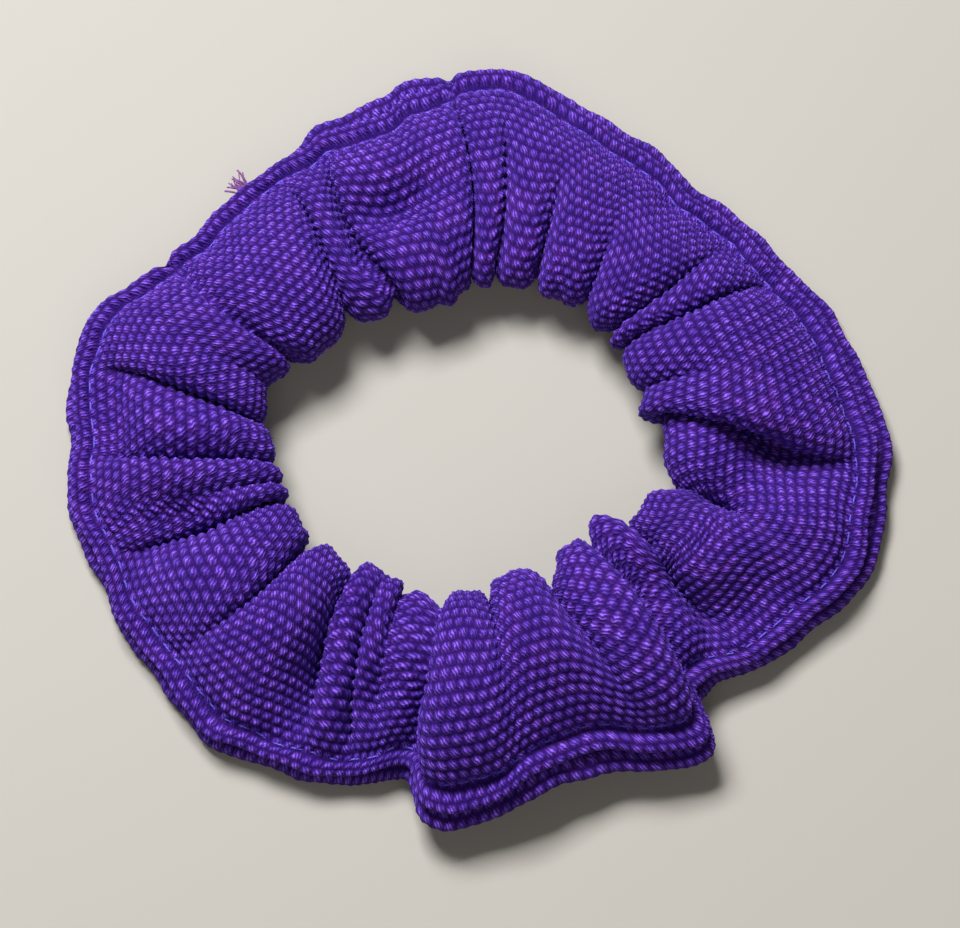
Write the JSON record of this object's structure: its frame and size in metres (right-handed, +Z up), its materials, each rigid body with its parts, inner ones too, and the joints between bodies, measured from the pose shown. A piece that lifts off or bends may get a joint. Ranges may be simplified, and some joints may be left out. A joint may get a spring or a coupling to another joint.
{
  "type": "scrunchie",
  "caption": "Hair scrunchie: a folded strip of thick purple knit with a topstitched outer flange, gathered into puffs round a loop of flat elastic.",
  "frame": {"origin": "middle of the scrunchie's bounding box, on the plane that it rests on", "axes": "+Z up, through the opening; +X along the longest way across; the cross seam between the two strips is on the +Y side"},
  "size_m": [0.1156, 0.111, 0.0207],
  "materials": {
    "knit": "soft matte knit",
    "thread": "shiny sewing thread",
    "elastic": "matte braided elastic"
  },
  "bodies": {
    "long_side": {"cover_long_strip": "knit", "elastic_band": "elastic", "elastic_join_thread": "thread", "needle_thread": "thread", "bobbin_thread": "thread", "cross_seam_thread": "thread", "closing_thread": "thread"},
    "short_side": {"cover_short_strip": "knit"}
  },
  "joints": [
    {"name": "stretch", "type": "slide", "parent": "long_side", "child": "short_side", "axis": [-0.515, 0.8572, 0], "range_m": [0, 0.03], "stiffness_N_per_m": 60, "deforming": ["cover_long_strip", "elastic_band", "needle_thread", "bobbin_thread", "cross_seam_thread", "closing_thread"]}
  ]
}
